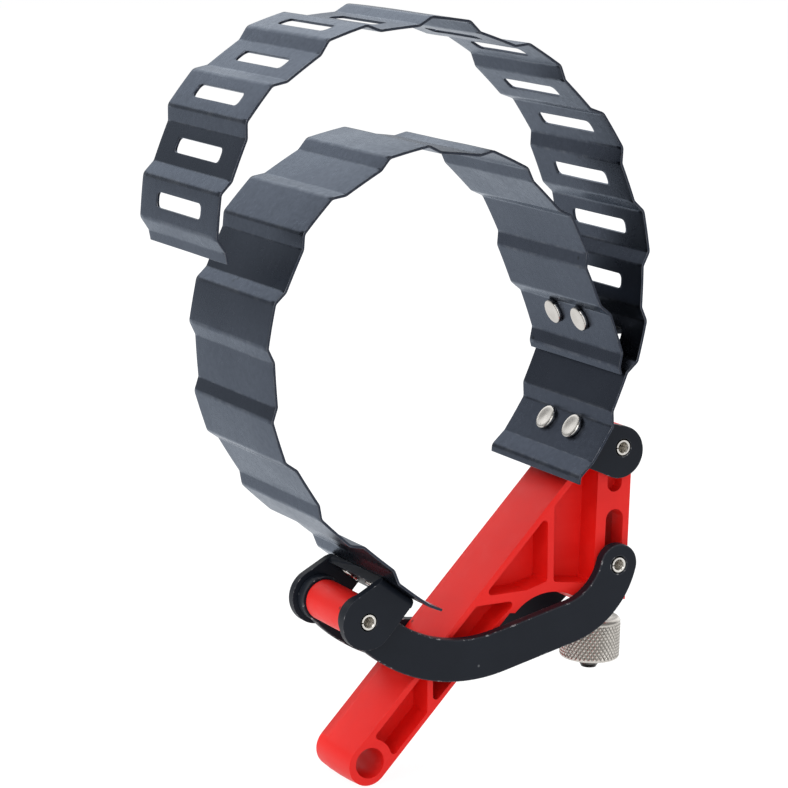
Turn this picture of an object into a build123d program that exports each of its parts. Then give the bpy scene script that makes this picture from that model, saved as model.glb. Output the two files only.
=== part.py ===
from build123d import *
import os
from math import atan2, cos, degrees, radians, sin, sqrt

os.makedirs("parts", exist_ok=True)

# Frame: the hanging hole of the lever is the origin and runs along Y.
# X points right, Z points up, the near side of the wrench faces -Y.  All sizes in mm.

# --- lever (injection moulded, cored from both faces) ---
lever_half = 8.0
lever_angle = 45.6
bar_half = 5.1
hang_hole_r = 3.5
tail_reach = 0.5
web_half = 1.5
spine_wall = 1.8
edge_wall = 1.3
top_pivot = (63.7, 64.9)
mid_pivot = (62.7, 37.8)
nose_half = 4.5
nose_front = 3.9
nose_top_r = 4.8
nose_depth = 9.0
arch_centre = (45.9, 20.5)
arch_r = 12.5
tail_rib = (14.5, 15.9)
cross_rib_z = (32.2, 34.2)
upright_rib = (45.4, 47.0)
pin_slot_w = 4.6
pin_slot_rise = 12.4
pin_slot_drop = 4.4
relief_slot = (54.3, 60.0)
relief_depth = 3.0
relief_shift = -0.4
screw_cavity_x = 3.2
screw_cavity_y = 3.4

# --- pins and pivots ---
left_pivot = (-2.9, 33.9)
pin_r = 2.0
pin_bore_r = 1.2
pin_slit = 0.2
pin_hole_r = 2.05

# --- link plates ---
link_gap = 0.3
link_thickness = 2.5
link_half = 4.8
link_end_r = 5.2
link_slope = 12.5
link_end_heading = 75.0
link_elbow_r = 16.5
link_sag_start = 31.8
spacer_r = 4.6

# --- spring steel bands ---
band_half = 19.0
band_thickness = 0.6
bend_r = 1.6
slot_length = 21.5
slot_height = 3.3
slot_corner_r = 1.2
first_slot = 2

plain_start = (8.82, 37.49)
plain_heading = 142.24
plain_flat = 9.54
plain_ramp = 3.26
plain_ramp_angle = 29.5
plain_zones = [(2, -2.6), (5, -14.5), (3, -17.7), (4, -18.7), (2, -3.3)]
plain_lead_in = 3.4
plain_tail = 1.6

slotted_start = (50.05, 64.67)
slotted_heading = 55.9
slotted_flat = 9.2
slotted_ramp = 3.45
slotted_ramp_angle = 31.0
slotted_zones = [(2, 10.4), (5, 11.7), (5, 12.3), (4, 16.9)]
slotted_lead_in = 4.4
slotted_lip = 1.6
slotted_lip_turn = 44.0
slotted_tail = 2.4

# --- riveted brackets ---
bracket_thickness = 2.0
bracket_seat = 0.3
left_bracket_inner = 11.1
right_bracket_inner = 8.3
left_ear_r = 6.3
right_ear_r = 6.0
right_ear_shift = 1.2
left_base = (0.0, 9.6)
right_base = (0.0, 10.4)
rivet_r = 1.6
rivet_hole_r = 1.63
rivet_head_r = 2.9
rivet_head_h = 0.9
rivet_tail_r = 2.1
rivet_tail_h = 0.5
rivet_spacing = 11.0
rivet_inset = 3.1

# --- band hook ---
hook_half = 9.5
hook_thickness = 1.0
hook_base = (0.6, 6.6)
hook_reach = 2.5
hook_tip = 4.0
hook_lift = 0.6

# --- adjusting screw, washer and thumb nut ---
screw_r = 2.5
eye_r = 3.0
eye_half = 3.0
screw_length = 26.5
washer_r = 3.8
washer_h = 1.2
nut_gap = 0.05
nut_hub_r = 3.2
nut_hub_h = 4.2
nut_r = 6.95
nut_h = 9.7
nut_chamfer = 0.8
nut_bore_r = 2.56


def point(xz):
    """A point on the mid plane."""
    return (xz[0], 0.0, xz[1])


def add(p, q, k=1.0):
    """Point p moved by k times vector q, both as (x, z)."""
    return (p[0] + k * q[0], p[1] + k * q[1])


def heading(deg):
    """Unit vector in the XZ plane at an angle from +X towards +Z."""
    return (cos(radians(deg)), sin(radians(deg)))


def slab(points, y0, y1):
    """Closed polygon in the XZ plane, extruded from y0 to y1."""
    face = make_face(Polyline(*[(x, y0, z) for x, z in points], close=True))
    return extrude(face, amount=y1 - y0, dir=(0, 1, 0))


def rod(centre, r, y0, y1):
    """Cylinder along Y."""
    plane = Plane(origin=(centre[0], y0, centre[1]), z_dir=(0, 1, 0))
    return extrude(plane * Circle(r), amount=y1 - y0)


def axial(base, direction, r, length):
    """Cylinder from a point in the XZ plane along an XZ direction."""
    plane = Plane(origin=point(base), z_dir=(direction[0], 0, direction[1]))
    return extrude(plane * Circle(r), amount=length)


def save(shape, name, colour):
    """Write one node as a STEP file."""
    shape.label = name
    shape.color = Color(*colour)
    export_step(shape, os.path.join("parts", name + ".step"))


RED = (0.80, 0.10, 0.08)
BLACK = (0.07, 0.08, 0.10)
STEEL = (0.20, 0.22, 0.26)
NICKEL = (0.75, 0.73, 0.70)


# ---------------------------------------------------------------- bands
def band_chain(start, head, flat, ramp, ramp_angle, zones, side, lead_in, tail):
    """Bend points of a corrugated band: outer and inner flats joined by short ramps, with an
    odd number of whole flats, so that both ends turn towards the inside of the loop."""
    turns = [turn for count, turn in zones for _ in range(count)]
    first = heading(head - side * ramp_angle * 0.45)
    points = [add(start, first, -lead_in), start]
    here = start
    for k, turn in enumerate(turns):
        here = add(here, heading(head), flat)
        points.append(here)
        inward = side if k % 2 == 0 else -side
        here = add(here, heading(head + turn / 2.0 + inward * ramp_angle), ramp)
        points.append(here)
        head = head + turn
    here = add(here, heading(head), flat)
    points.append(here)
    here = add(here, heading(head + turn / 2.0 + side * ramp_angle), ramp)
    points.append(here)
    points.append(add(here, heading(head + turn), tail))
    return points


def band_solid(points):
    """A strip of constant thickness folded along the bend points."""
    left, right, big, small = [], [], [], []
    for i, here in enumerate(points):
        ahead = points[min(i + 1, len(points) - 1)]
        behind = points[max(i - 1, 0)]
        a = atan2(here[1] - behind[1], here[0] - behind[0]) if i else None
        b = atan2(ahead[1] - here[1], ahead[0] - here[0]) if ahead != here else a
        a = b if a is None else a
        mid = (a + b) / 2.0
        if abs(a - b) > 3.14159:
            mid += 3.14159265
        reach = band_thickness / 2.0 / cos(mid - a)
        normal = (-sin(mid), cos(mid))
        left.append(add(here, normal, reach))
        right.append(add(here, normal, -reach))
        if 0 < i < len(points) - 1:
            turning_left = sin(b - a) > 0
            small.append(left[-1] if turning_left else right[-1])
            big.append(right[-1] if turning_left else left[-1])
    outline = left + right[::-1]
    strip = slab(outline, -band_half, band_half)
    for targets, radius in ((big, bend_r + band_thickness / 2.0), (small, bend_r - band_thickness / 2.0)):
        picked = [e for e in strip.edges().filter_by(Axis.Y) if near_any(e.center(), targets)]
        strip = fillet(picked, radius)
    return strip


def near_any(centre, targets):
    """True if an edge centre stands on one of the target points."""
    return any(abs(centre.X - x) < 0.01 and abs(centre.Z - z) < 0.01 for x, z in targets)


def flat_frame(points, k):
    """Start, end, unit direction and length of whole flat number k."""
    p, q = points[2 * k + 1], points[2 * k + 2]
    length = sqrt((q[0] - p[0]) ** 2 + (q[1] - p[1]) ** 2)
    along = ((q[0] - p[0]) / length, (q[1] - p[1]) / length)
    return p, q, along, length


plain_points = band_chain(plain_start, plain_heading, plain_flat, plain_ramp, plain_ramp_angle,
                          plain_zones, -1, plain_lead_in, plain_tail)
slotted_points = band_chain(slotted_start, slotted_heading, slotted_flat, slotted_ramp,
                            slotted_ramp_angle, slotted_zones, 1, slotted_lead_in, slotted_tail)
lip_heading = slotted_heading - slotted_ramp_angle * 0.45 + 180.0 + slotted_lip_turn
lip_end = add(slotted_points[0], heading(lip_heading), slotted_lip)
plain_strap = band_solid(plain_points)
slotted_strap = band_solid([lip_end] + slotted_points)

slotted_flats = (len(slotted_points) - 3) // 2
for k in range(first_slot, slotted_flats):
    p, q, along, length = flat_frame(slotted_points, k)
    centre = add(p, along, length / 2.0)
    plane = Plane(origin=point(centre), x_dir=(0, 1, 0), z_dir=(along[1], 0, -along[0]))
    hole = plane * RectangleRounded(slot_length, slot_height, slot_corner_r)
    slotted_strap -= extrude(hole, amount=2.0, both=True)


# ---------------------------------------------------------------- rivets
def rivet_place(seat, outward, y):
    """Plane on the inner face of a band, facing away from the loop."""
    return Plane(origin=(seat[0], y, seat[1]), z_dir=(outward[0], 0, outward[1]))


def rivet(plane, grip):
    """Flat headed rivet: head inside the loop, upset tail outside."""
    head = extrude(plane * Circle(rivet_head_r), amount=-rivet_head_h)
    top = head.edges().group_by(lambda e: (e.center() - plane.origin).dot(plane.z_dir))[0]
    head = fillet(top, 0.35)
    shank = extrude(plane * Circle(rivet_r), amount=grip + 0.01)
    tail_plane = plane.offset(grip)
    tail = extrude(tail_plane * Circle(rivet_tail_r), amount=rivet_tail_h)
    return head + shank + tail


# ---------------------------------------------------------------- brackets
def bracket(corner, along, outward, pivot, ear_centre, ear_r, base, inner):
    """U bracket: base plate on the outside of a band, two ears carrying a pin."""
    outer = inner + bracket_thickness
    low = bracket_seat
    high = bracket_seat + bracket_thickness

    def at(u, v):
        return add(add(corner, along, u), outward, v)

    plate = slab([at(base[0], low), at(base[1], low), at(base[1], high), at(base[0], high)], -outer, outer)
    dx, dz = ear_centre[0] - corner[0], ear_centre[1] - corner[1]
    cu = dx * along[0] + dz * along[1]
    cv = dx * outward[0] + dz * outward[1]
    rise_l = sqrt((cu - base[0]) ** 2 + (cv - low) ** 2)
    rise_r = sqrt((base[1] - cu) ** 2 + (cv - low) ** 2)
    turn_l = atan2(cv - low, cu - base[0]) + atan2(ear_r, sqrt(rise_l ** 2 - ear_r ** 2))
    turn_r = atan2(cv - low, cu - base[1]) - atan2(ear_r, sqrt(rise_r ** 2 - ear_r ** 2))
    tl = sqrt(rise_l ** 2 - ear_r ** 2)
    tr = sqrt(rise_r ** 2 - ear_r ** 2)
    tangent_l = at(base[0] + tl * cos(turn_l), low + tl * sin(turn_l))
    tangent_r = at(base[1] + tr * cos(turn_r), low + tr * sin(turn_r))
    web = [at(base[0], low), at(base[1], low), tangent_r, ear_centre, tangent_l]
    solid = plate
    for y0, y1 in ((-outer, -inner), (inner, outer)):
        ear = slab(web, y0, y1) + rod(ear_centre, ear_r, y0, y1)
        solid += ear
    solid -= rod(pivot, pin_hole_r, -outer - 1.0, outer + 1.0)
    return solid


def roll_pin(pivot, half):
    """Slotted spring pin: a rolled tube with a slit."""
    tube = rod(pivot, pin_r, -half, half) - rod(pivot, pin_bore_r, -half - 1, half + 1)
    slit = slab([add(pivot, (0, -pin_slit / 2)), add(pivot, (-pin_r - 1, -pin_slit / 2)),
                 add(pivot, (-pin_r - 1, pin_slit / 2)), add(pivot, (0, pin_slit / 2))], -half - 1, half + 1)
    return tube - slit


# left bracket: under the first flat of the plain band, corner at its far bend
p, q, along, length = flat_frame(plain_points, 0)
left_along = (-along[0], -along[1])
left_out = (-along[1], along[0])
left_corner = q
left_bracket = bracket(left_corner, left_along, left_out, left_pivot, left_pivot, left_ear_r,
                       left_base, left_bracket_inner)

# right bracket: under the first flat of the slotted band
p, q, along, length = flat_frame(slotted_points, 0)
right_along = (-along[0], -along[1])
right_out = (along[1], -along[0])
right_corner = q
right_ear = add(top_pivot, right_along, right_ear_shift)
right_bracket = bracket(right_corner, right_along, right_out, top_pivot, right_ear, right_ear_r,
                        right_base, right_bracket_inner)

rivets = {}
for name, corner, u_dir, v_dir in (("left_bracket_rivet", left_corner, left_along, left_out),
                                   ("right_bracket_rivet", right_corner, right_along, right_out)):
    seat = add(add(corner, u_dir, rivet_inset), v_dir, -band_thickness / 2.0)
    grip = band_thickness / 2.0 + bracket_seat + bracket_thickness
    for k, y in enumerate((-rivet_spacing / 2.0, rivet_spacing / 2.0)):
        plane = rivet_place(seat, v_dir, y)
        rivets[name + "_" + str(k + 1)] = rivet(plane, grip)
        drill = extrude(plane * Circle(rivet_hole_r), amount=6.0, both=True)
        if name.startswith("left"):
            plain_strap -= drill
            left_bracket -= drill
        else:
            slotted_strap -= drill
            right_bracket -= drill

# ---------------------------------------------------------------- band hook
p, q, along, length = flat_frame(plain_points, (len(plain_points) - 3) // 2 - 1)
hook_out = (-along[1], along[0])
face = band_thickness / 2.0


def hook_at(u, v):
    return add(add(p, along, u), hook_out, v)


half_hook = hook_thickness / 2.0
slot_p, slot_q, slot_along, slot_span = flat_frame(slotted_points, first_slot)
slot_centre = add(slot_p, slot_along, slot_span / 2.0)
leg_start = hook_at(hook_base[1], face + half_hook)
aim = add(slot_centre, slot_along, hook_lift)
leg_span = sqrt((aim[0] - leg_start[0]) ** 2 + (aim[1] - leg_start[1]) ** 2)
leg_dir = ((aim[0] - leg_start[0]) / leg_span, (aim[1] - leg_start[1]) / leg_span)
leg_up = (-leg_dir[1], leg_dir[0])
leg_end = add(aim, leg_dir, hook_reach)
tip_low = add(add(leg_end, leg_up, -half_hook), leg_dir, -half_hook)


def strip(start, end, side, half):
    """Rectangle about the line from start to end."""
    return [add(start, side, -half), add(end, side, -half), add(end, side, half), add(start, side, half)]


band_hook = slab([hook_at(hook_base[0], face), hook_at(hook_base[1] + half_hook, face),
                  hook_at(hook_base[1] + half_hook, face + hook_thickness),
                  hook_at(hook_base[0], face + hook_thickness)], -hook_half, hook_half)
band_hook += slab(strip(leg_start, leg_end, leg_up, half_hook), -hook_half, hook_half)
band_hook += slab(strip(tip_low, add(tip_low, leg_up, hook_tip), leg_dir, half_hook), -hook_half, hook_half)
for k, y in enumerate((-rivet_spacing / 2.0, rivet_spacing / 2.0)):
    plane = rivet_place(hook_at(rivet_inset, -face), hook_out, y)
    rivets["hook_rivet_" + str(k + 1)] = rivet(plane, band_thickness + hook_thickness)
    drill = extrude(plane * Circle(rivet_hole_r), amount=6.0, both=True)
    plain_strap -= drill
    band_hook -= drill

# ---------------------------------------------------------------- links
slope = heading(link_slope)
finish = heading(link_end_heading)
elbow_centre = add(mid_pivot, (-finish[1], finish[0]), link_elbow_r)
elbow_start = add(elbow_centre, (slope[1], -slope[0]), link_elbow_r)
run = (elbow_start[0] - link_sag_start) / slope[0]
sag_end = add(elbow_start, slope, -run)
dx, dz = sag_end[0] - left_pivot[0], sag_end[1] - left_pivot[1]
sag_r = (dx * dx + dz * dz) / (2.0 * (dx * slope[1] - dz * slope[0]))
sag_centre = add(sag_end, (-slope[1], slope[0]), sag_r)


def arc_edge(centre, r, a0, a1):
    """Arc in the XZ plane between two headings seen from its centre."""
    ends = [point(add(centre, heading(a), r)) for a in (a0, (a0 + a1) / 2.0, a1)]
    return ThreePointArc(*ends)


start_angle = degrees(atan2(left_pivot[1] - sag_centre[1], left_pivot[0] - sag_centre[0]))
if start_angle > 0:
    start_angle -= 360.0
outline = Wire([
    arc_edge(sag_centre, sag_r + link_half, start_angle, link_slope - 90.0),
    Line(point(add(sag_end, (slope[1], -slope[0]), link_half)),
         point(add(elbow_start, (slope[1], -slope[0]), link_half))),
    arc_edge(elbow_centre, link_elbow_r + link_half, link_slope - 90.0, link_end_heading - 90.0),
    Line(point(add(mid_pivot, (finish[1], -finish[0]), link_half)),
         point(add(mid_pivot, (-finish[1], finish[0]), link_half))),
    arc_edge(elbow_centre, link_elbow_r - link_half, link_end_heading - 90.0, link_slope - 90.0),
    Line(point(add(elbow_start, (-slope[1], slope[0]), link_half)),
         point(add(sag_end, (-slope[1], slope[0]), link_half))),
    arc_edge(sag_centre, sag_r - link_half, link_slope - 90.0, start_angle),
    Line(point(add(sag_centre, heading(start_angle), sag_r - link_half)),
         point(add(sag_centre, heading(start_angle), sag_r + link_half))),
])
link_inner = lever_half + link_gap
link_plate = extrude(make_face(outline), amount=link_thickness, dir=(0, 1, 0))
link_plate += rod(left_pivot, link_end_r, 0.0, link_thickness)
link_plate += rod(mid_pivot, link_half, 0.0, link_thickness)
link_plate -= rod(left_pivot, pin_hole_r, -1.0, link_thickness + 1.0)
link_plate -= rod(mid_pivot, pin_hole_r, -1.0, link_thickness + 1.0)
far_link = link_plate.moved(Location((0, link_inner, 0)))
near_link = link_plate.moved(Location((0, -link_inner - link_thickness, 0)))
spacer_half = link_inner - 0.2
link_spacer = rod(left_pivot, spacer_r, -spacer_half, spacer_half)
link_spacer -= rod(left_pivot, pin_hole_r, -spacer_half - 1.0, spacer_half + 1.0)

# ---------------------------------------------------------------- lever
origin = (0.0, 0.0)
u = heading(lever_angle)
n = (-u[1], u[0])
nose_dir = (top_pivot[0] - mid_pivot[0], top_pivot[1] - mid_pivot[1])
nose_span = sqrt(nose_dir[0] ** 2 + nose_dir[1] ** 2)
nose_up = (nose_dir[0] / nose_span, nose_dir[1] / nose_span)
nose_right = (nose_up[1], -nose_up[0])


def bar(t, offset):
    """Point on the lever bar: t along it, offset towards the spine side."""
    return add(add(origin, u, t), n, offset)


def spine_at(x, inset):
    """Point at a given x on the spine line moved inwards."""
    t = (x - n[0] * (bar_half - inset)) / u[0]
    return bar(t, bar_half - inset)


nose_foot = add(mid_pivot, nose_up, -nose_depth)
foot_left = add(nose_foot, nose_right, -12.0)
outline = [
    bar(-tail_reach, bar_half),
    spine_at(top_pivot[0] - 6.0, 0.0),
    add(top_pivot, nose_right, -nose_half),
    add(top_pivot, nose_right, nose_front),
    add(nose_foot, nose_right, nose_front),
    foot_left,
    bar(46.0, -bar_half),
    bar(-tail_reach, -bar_half),
]
handle = slab(outline, -lever_half, lever_half)
handle += rod(bar(-tail_reach, 0.0), bar_half, -lever_half, lever_half)
handle += rod(top_pivot, nose_top_r, -lever_half, lever_half)
handle -= rod(arch_centre, arch_r, -lever_half - 1.0, lever_half + 1.0)


def pocket(points, keep_out=None):
    """The same recess from both faces, leaving the middle web."""
    near = slab(points, -lever_half - 1.0, -web_half)
    far = slab(points, web_half, lever_half + 1.0)
    both = []
    for part in (near, far):
        if keep_out is not None:
            part = part - keep_out
        upright = part.edges().filter_by(Axis.Y)
        both.append(fillet(upright, 0.9))
    return both


inner_top = bar_half - spine_wall
inner_low = -bar_half + edge_wall
tail_boss = rod(origin, bar_half + 0.4, -lever_half - 2.0, lever_half + 2.0)
arch_wall = rod(arch_centre, arch_r + 1.6, -lever_half - 2.0, lever_half + 2.0)


def bar_at_x(x, offset):
    """Point of the bar's offset line at a given x."""
    t = (x - n[0] * offset) / u[0]
    return bar(t, offset)


def bar_at_z(z, offset):
    """Point of the bar's offset line at a given z."""
    t = (z - n[1] * offset) / u[1]
    return bar(t, offset)


pockets = []
pockets += pocket([bar(2.0, inner_top), bar_at_x(tail_rib[0], inner_top),
                   bar_at_x(tail_rib[0], inner_low), bar(2.0, inner_low)], tail_boss)
pockets += pocket([bar_at_x(tail_rib[1], inner_top), bar_at_z(cross_rib_z[0], inner_top),
                   (arch_centre[0] - 8.0, cross_rib_z[0]), bar(43.0, inner_low),
                   bar_at_x(tail_rib[1], inner_low)], arch_wall)
pockets += pocket([bar_at_z(cross_rib_z[1], inner_top), spine_at(upright_rib[0], spine_wall),
                   (upright_rib[0], cross_rib_z[1] + 1.4), (arch_centre[0] - 6.0, cross_rib_z[1])], None)
nose_left = add(mid_pivot, nose_right, -nose_half)
pockets += pocket([(upright_rib[1], 35.2), spine_at(upright_rib[1], spine_wall),
                   spine_at(nose_left[0] + 0.4, spine_wall), (nose_left[0] + 0.4, 60.0),
                   (nose_left[0] - 0.6, 33.6)], None)
for cut in pockets:
    handle -= cut

# pivot, hanging hole and obround slots of the nose
handle -= rod(origin, hang_hole_r, -lever_half - 1.0, lever_half + 1.0)
handle -= rod(top_pivot, pin_hole_r, -lever_half - 1.0, lever_half + 1.0)


def obround(low, high, width, y0, y1):
    """Slot along the nose axis between two centres."""
    half = width / 2.0
    corners = [add(low, nose_right, -half), add(low, nose_right, half),
               add(high, nose_right, half), add(high, nose_right, -half)]
    return slab(corners, y0, y1) + rod(low, half, y0, y1) + rod(high, half, y0, y1)


slot_low = add(mid_pivot, nose_up, -(pin_slot_drop - pin_slot_w / 2.0))
slot_high = add(mid_pivot, nose_up, pin_slot_rise - pin_slot_w / 2.0)
handle -= obround(slot_low, slot_high, pin_slot_w, -lever_half - 1.0, lever_half + 1.0)
relief_foot = add(mid_pivot, nose_right, relief_shift)
relief_low = add(relief_foot, nose_up, relief_slot[0] - mid_pivot[1] + 1.9)
relief_high = add(relief_foot, nose_up, relief_slot[1] - mid_pivot[1] - 1.9)
handle -= obround(relief_low, relief_high, 3.8, -lever_half - 1.0, -lever_half + relief_depth)
handle -= obround(relief_low, relief_high, 3.8, lever_half - relief_depth, lever_half + 1.0)

# cavity for the screw eye, open at the foot of the nose
cavity_top = add(mid_pivot, nose_up, pin_slot_rise)
cavity_low = add(nose_foot, nose_up, -1.0)
handle -= slab([add(cavity_low, nose_right, -screw_cavity_x), add(cavity_low, nose_right, screw_cavity_x),
                add(cavity_top, nose_right, screw_cavity_x), add(cavity_top, nose_right, -screw_cavity_x)],
               -screw_cavity_y, screw_cavity_y)

# ---------------------------------------------------------------- screw, washer, nut
down = (-nose_up[0], -nose_up[1])
adjusting_screw = axial(mid_pivot, down, screw_r, screw_length)
tip_edges = adjusting_screw.edges().group_by(lambda e: e.center().Z)[0]
adjusting_screw = fillet(tip_edges, 0.9)
adjusting_screw += rod(mid_pivot, eye_r, -eye_half, eye_half)
adjusting_screw -= rod(mid_pivot, pin_hole_r, -eye_half - 1.0, eye_half + 1.0)

washer = axial(nose_foot, down, washer_r, washer_h)
washer -= axial(add(nose_foot, down, -1.0), down, screw_r + 0.2, washer_h + 2.0)
hub_top = add(nose_foot, down, washer_h + nut_gap)
body_top = add(hub_top, down, nut_hub_h)
nut_body = axial(body_top, down, nut_r, nut_h)
nut_body = chamfer(nut_body.edges(), nut_chamfer)
thumb_nut = axial(hub_top, down, nut_hub_r, nut_hub_h + 1.0) + nut_body
thumb_nut -= axial(add(hub_top, down, -1.0), down, nut_bore_r, nut_hub_h + nut_h + 2.0)

nodes = {
    "handle": (handle, RED),
    "washer": (washer, STEEL),
    "thumb_nut": (thumb_nut, NICKEL),
    "adjusting_screw": (adjusting_screw, BLACK),
    "mid_pin": (roll_pin(mid_pivot, link_inner + link_thickness), NICKEL),
    "near_link": (near_link, BLACK),
    "far_link": (far_link, BLACK),
    "link_spacer": (link_spacer, RED),
    "left_bracket": (left_bracket, BLACK),
    "left_pin": (roll_pin(left_pivot, left_bracket_inner + bracket_thickness), NICKEL),
    "plain_strap": (plain_strap, STEEL),
    "band_hook": (band_hook, BLACK),
    "right_bracket": (right_bracket, BLACK),
    "top_pin": (roll_pin(top_pivot, right_bracket_inner + bracket_thickness), NICKEL),
    "slotted_strap": (slotted_strap, STEEL),
}
for name, solid in rivets.items():
    nodes[name] = (solid, NICKEL)
for name, (solid, colour) in nodes.items():
    save(solid, name, colour)
    print(name, round(solid.volume, 1))
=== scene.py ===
import math

import bmesh
import bpy
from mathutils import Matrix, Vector, noise
from mathutils.geometry import delaunay_2d_cdt


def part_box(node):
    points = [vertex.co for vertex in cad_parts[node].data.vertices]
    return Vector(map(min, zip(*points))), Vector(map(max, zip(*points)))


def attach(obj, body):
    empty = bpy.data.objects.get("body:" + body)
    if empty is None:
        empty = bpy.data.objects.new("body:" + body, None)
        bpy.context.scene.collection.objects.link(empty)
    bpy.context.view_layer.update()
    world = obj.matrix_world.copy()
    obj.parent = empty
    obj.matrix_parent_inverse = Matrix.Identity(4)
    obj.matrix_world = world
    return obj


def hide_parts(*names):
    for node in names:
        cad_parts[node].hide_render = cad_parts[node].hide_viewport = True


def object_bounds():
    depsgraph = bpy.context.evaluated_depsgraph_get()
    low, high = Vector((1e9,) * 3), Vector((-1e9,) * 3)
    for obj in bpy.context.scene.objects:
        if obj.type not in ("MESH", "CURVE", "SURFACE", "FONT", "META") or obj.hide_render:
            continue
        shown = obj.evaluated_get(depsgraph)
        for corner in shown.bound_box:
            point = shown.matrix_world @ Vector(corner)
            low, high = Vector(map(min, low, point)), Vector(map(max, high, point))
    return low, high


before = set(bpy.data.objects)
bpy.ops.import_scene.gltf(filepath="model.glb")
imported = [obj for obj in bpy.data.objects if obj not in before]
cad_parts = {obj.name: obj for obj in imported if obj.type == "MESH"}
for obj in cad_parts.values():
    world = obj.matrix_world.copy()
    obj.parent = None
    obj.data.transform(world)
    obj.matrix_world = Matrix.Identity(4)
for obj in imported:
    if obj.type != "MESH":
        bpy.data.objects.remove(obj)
cad_low, cad_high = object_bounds()

MM = 0.001
TINY = 1e-9

# ------------------------------------------------------------------ sizes, in mm, as in the model source
LEVER_HALF = 8.0
LEVER_ANGLE = 45.6
BAR_HALF = 5.1
TAIL_REACH = 0.5
TOP_PIVOT = (63.7, 64.9)
MID_PIVOT = (62.7, 37.8)
LEFT_PIVOT = (-2.9, 33.9)
NOSE_DEPTH = 9.0
PIN_R = 2.0
PIN_BORE_R = 1.2
PIN_SLIT = 0.2
LINK_OUTER = 10.8
LEFT_EAR_OUTER = 13.1
RIGHT_EAR_OUTER = 10.3
BAND_HALF = 19.0
BAND_T = 0.6
BEND_R = 1.6
SLOT_LENGTH = 21.5
SLOT_HEIGHT = 3.3
SLOT_CORNER_R = 1.2
FIRST_SLOT = 2
BRACKET_T = 2.0
RIVET_R = 1.6
RIVET_HOLE_R = 1.63
RIVET_HEAD_R = 2.9
RIVET_HEAD_H = 0.9
RIVET_TAIL_R = 2.1
RIVET_TAIL_H = 0.5
RIVET_SPACING = 11.0
RIVET_INSET = 3.1
HOOK_HALF = 9.5
HOOK_T = 1.0
SCREW_R = 2.5
SCREW_LENGTH = 26.5
EYE_R = 3.0
EYE_HALF = 3.0
THREAD_PITCH = 0.8
WASHER_H = 1.2
NUT_GAP = 0.05
HUB_R = 3.2
HUB_H = 4.2
NUT_R = 6.95
NUT_H = 9.7
NUT_BORE_R = 2.56

PLAIN = dict(start=(8.82, 37.49), head=142.24, flat=9.54, ramp=3.26, ramp_angle=29.5,
             zones=[(2, -2.6), (5, -14.5), (3, -17.7), (4, -18.7), (2, -3.3)],
             side=-1, lead_in=3.4, tail=1.6)
SLOTTED = dict(start=(50.05, 64.67), head=55.9, flat=9.2, ramp=3.45, ramp_angle=31.0,
               zones=[(2, 10.4), (5, 11.7), (5, 12.3), (4, 16.9)],
               side=1, lead_in=4.4, tail=2.4)
LIP = 1.6
LIP_TURN = 44.0
LEAD_SHARE = 0.45            # part of the ramp angle that the lead-in turns by

# ------------------------------------------------------------------ looks, in mm unless they say otherwise
BAND_CROWN = 0.05            # how far a flat bows between its bends
BAND_WAVE = 0.08             # slow unevenness of the sheet
BEND_STEPS = 5
CURVED_RUN = 5.0             # runs longer than this one are crowned
HOLE_MARGIN = 0.45           # sheet grid points keep this far from a hole's edge
SPECK_SOFT = 0.35            # where a speck starts to fade, as a share of its size
LINK_RIM = 0.28
BRACKET_RIM = 0.25
BRACKET_BEND = 1.7
WASHER_RIM = 0.15
SPACER_RIM = 0.35
TAPER = 0.3                  # draft of the lever's outer walls at its faces
TAPER_CUTS = (0.0, 4.0, -4.0)
LEVER_OUTER_RIM = 1.2
LEVER_RIM = 0.45
LEVER_HOLLOW = 0.4
ON_SURFACE = 0.05            # tolerance of the tests that find the lever's outer walls
KNURL_AROUND = 42
KNURL_DEPTH = 0.36
KNURL_INSET = 0.1            # plain rows beside the knurl are this much lower
KNURL_ASPECT = 1.4           # height of a diamond over its width
THREAD_DEPTH = 0.40
SHARP_FOLD = 0.7             # edge angles in radians from which an edge counts as a rim, a hollow or a bend
HOLLOW_FOLD = 0.9
BEND_FOLD = 1.2
ALONG_Y = Vector((0.0, 1.0, 0.0))


# ------------------------------------------------------------------ plane geometry, (x, z) in mm
def add(p, q, k=1.0):
    return (p[0] + k * q[0], p[1] + k * q[1])


def heading(deg):
    return (math.cos(math.radians(deg)), math.sin(math.radians(deg)))


def left_of(d):
    return (-d[1], d[0])


def unit(p, q):
    length = math.hypot(q[0] - p[0], q[1] - p[1])
    return ((q[0] - p[0]) / length, (q[1] - p[1]) / length), length


def band_chain(start, head, flat, ramp, ramp_angle, zones, side, lead_in, tail):
    """Bend points of a corrugated band, as the model source lays them out."""
    turns = [turn for count, turn in zones for _ in range(count)]
    points = [add(start, heading(head - side * ramp_angle * LEAD_SHARE), -lead_in), start]
    here = start
    for k, turn in enumerate(turns):
        here = add(here, heading(head), flat)
        points.append(here)
        inward = side if k % 2 == 0 else -side
        here = add(here, heading(head + turn / 2.0 + inward * ramp_angle), ramp)
        points.append(here)
        head += turn
    here = add(here, heading(head), flat)
    points.append(here)
    here = add(here, heading(head + turn / 2.0 + side * ramp_angle), ramp)
    points.append(here)
    points.append(add(here, heading(head + turn), tail))
    return points


def flat_frame(points, k):
    """Start, direction and length of flat k of a band."""
    start = points[2 * k + 1]
    along, length = unit(start, points[2 * k + 2])
    return start, along, length


# ------------------------------------------------------------------ materials
def new_material(name):
    m = bpy.data.materials.new(name)
    m.use_nodes = True
    t = m.node_tree
    shader = next(n for n in t.nodes if n.type == "BSDF_PRINCIPLED")
    where = t.nodes.new("ShaderNodeTexCoord").outputs["Object"]
    return m, t, shader, where


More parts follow.
